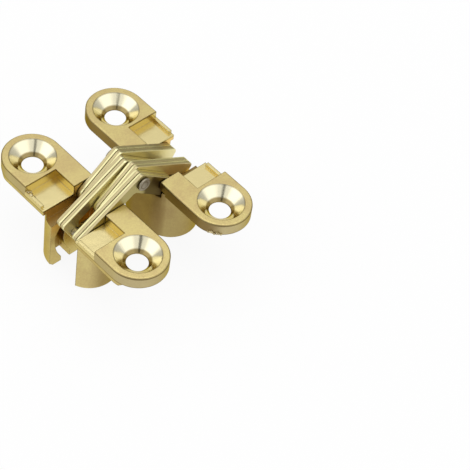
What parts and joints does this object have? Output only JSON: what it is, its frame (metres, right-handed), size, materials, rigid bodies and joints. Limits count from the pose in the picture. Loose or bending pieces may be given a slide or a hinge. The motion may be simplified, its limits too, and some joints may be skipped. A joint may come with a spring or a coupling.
{
  "type": "invisible hinge",
  "caption": "Concealed mortise hinge: round-ended screw leaves with slotted barrels, joined by crossed link plates that fold away inside them.",
  "frame": {"origin": "bottom centre of the open hinge: plane of the barrel bottoms, midway between the leaves", "axes": "+X from leaf A to leaf B, +Y along the pins, +Z out of the leaf faces"},
  "size_m": [0.0346, 0.045, 0.0227],
  "materials": {
    "plated_casting": "satin brass plating on a zinc die casting",
    "link_plates": "thin brass plating on stamped steel",
    "steel_pins": "plain bright steel"
  },
  "bodies": {
    "fixed_leaf": {"leaf_a": "plated_casting", "pivot_pin_a": "steel_pins"},
    "crossing_links_b": {"link_b1": "link_plates", "link_b2": "link_plates", "link_b3": "link_plates", "link_b4": "link_plates", "cross_pin": "steel_pins", "slider_pin_b": "steel_pins"},
    "crossing_links_a": {"link_a1": "link_plates", "link_a2": "link_plates", "link_a3": "link_plates", "link_a4": "link_plates", "slider_pin_a": "steel_pins"},
    "swinging_leaf": {"leaf_b": "plated_casting", "pivot_pin_b": "steel_pins"}
  },
  "joints": [
    {"name": "leaf_a_pivot", "type": "hinge", "parent": "fixed_leaf", "child": "crossing_links_b", "pos_m": [-0.0067, 0, 0.0147], "axis": [0, -1, 0], "range_deg": [0, 120]},
    {"name": "links_crossing", "type": "hinge", "parent": "crossing_links_b", "child": "crossing_links_a", "pos_m": [0, 0, 0.0203], "axis": [0, -1, 0], "range_deg": [-60, 0]},
    {"name": "leaf_b_pivot", "type": "hinge", "parent": "crossing_links_a", "child": "swinging_leaf", "pos_m": [0.0067, 0, 0.0147], "axis": [0, -1, 0], "range_deg": [0, 120]}
  ],
  "couplings": [
    {"joint": "links_crossing", "follows": "leaf_a_pivot", "ratio": -0.5},
    {"joint": "leaf_b_pivot", "follows": "leaf_a_pivot", "ratio": 1}
  ]
}
